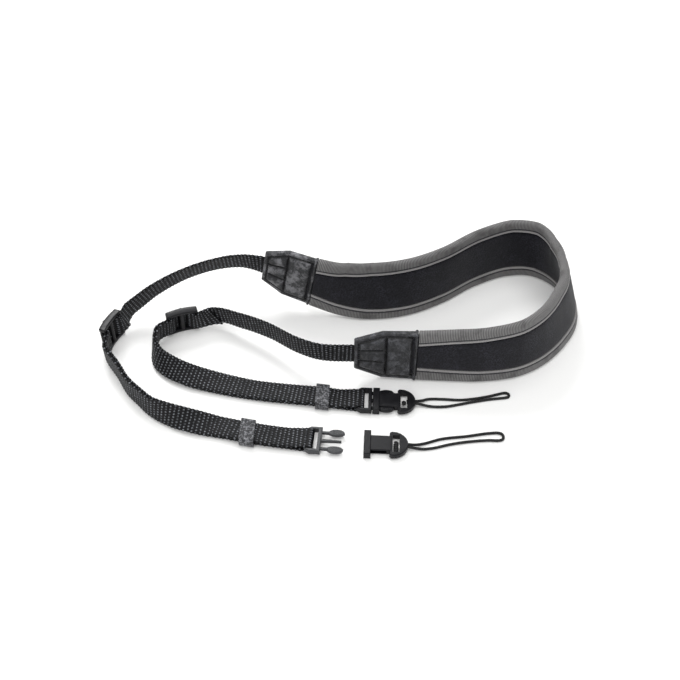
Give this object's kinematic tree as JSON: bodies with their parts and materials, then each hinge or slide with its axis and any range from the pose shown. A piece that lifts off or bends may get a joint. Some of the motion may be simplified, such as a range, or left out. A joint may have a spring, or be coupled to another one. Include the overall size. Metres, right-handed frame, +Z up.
{
  "type": "camera neck strap",
  "caption": "Contoured neoprene neck pad with leather end tabs and adjustable webbing that ends in quick-release buckles with thin cord loops.",
  "frame": {"origin": "on the surface the strap lies on, below the middle of the strap's outline without its cord loops", "axes": "+X along the strap as it lies, towards the curled end of the neck pad; +Z up from the surface, across the pad's width"},
  "size_m": [0.2744, 0.1476, 0.0421],
  "materials": {
    "neoprene": "matte knitted face over foam",
    "binding": "matte ribbed knit",
    "leather": "semi gloss grained",
    "webbing": "woven nylon",
    "plastic": "satin moulded",
    "cord": "braided"
  },
  "bodies": {
    "root": {"pad_core": "neoprene", "pad_binding_upper": "binding", "pad_binding_lower": "binding", "far_tab": "leather", "near_tab": "leather", "far_webbing": "webbing", "near_webbing": "webbing", "far_slider": "plastic", "near_slider": "plastic", "far_keeper": "leather", "near_keeper": "leather", "far_buckle_male": "plastic", "far_buckle_female": "plastic", "near_buckle_male": "plastic", "near_buckle_female": "plastic", "far_cord_loop": "cord", "near_cord_loop": "cord", "far_cord_knot": "cord", "near_cord_knot": "cord"}
  },
  "joints": []
}
